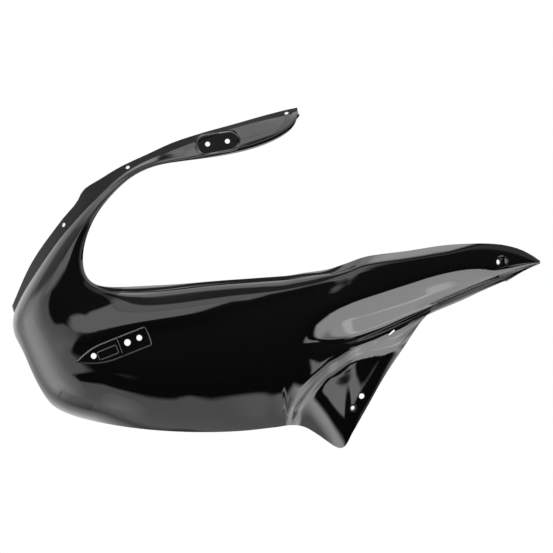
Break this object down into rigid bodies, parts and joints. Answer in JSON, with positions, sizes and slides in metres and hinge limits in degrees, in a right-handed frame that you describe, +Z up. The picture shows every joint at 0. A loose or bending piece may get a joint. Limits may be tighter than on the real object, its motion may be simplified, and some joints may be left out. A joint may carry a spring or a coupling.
{
  "type": "motorcycle fairing",
  "caption": "Gloss black upper half fairing: a pointed nose with a lamp opening, two swept-back screen arms, flanks with indicator pockets, side flaps and tapering tails.",
  "frame": {"origin": "centre of the bounding box, on the middle plane of the fairing", "axes": "+X from the nose to the tail, +Y to the rider's right, +Z up"},
  "size_m": [0.898, 0.4268, 0.58],
  "materials": {
    "moulding": "gloss black self-coloured moulding"
  },
  "bodies": {
    "root": {"fairing": "moulding"}
  },
  "joints": []
}
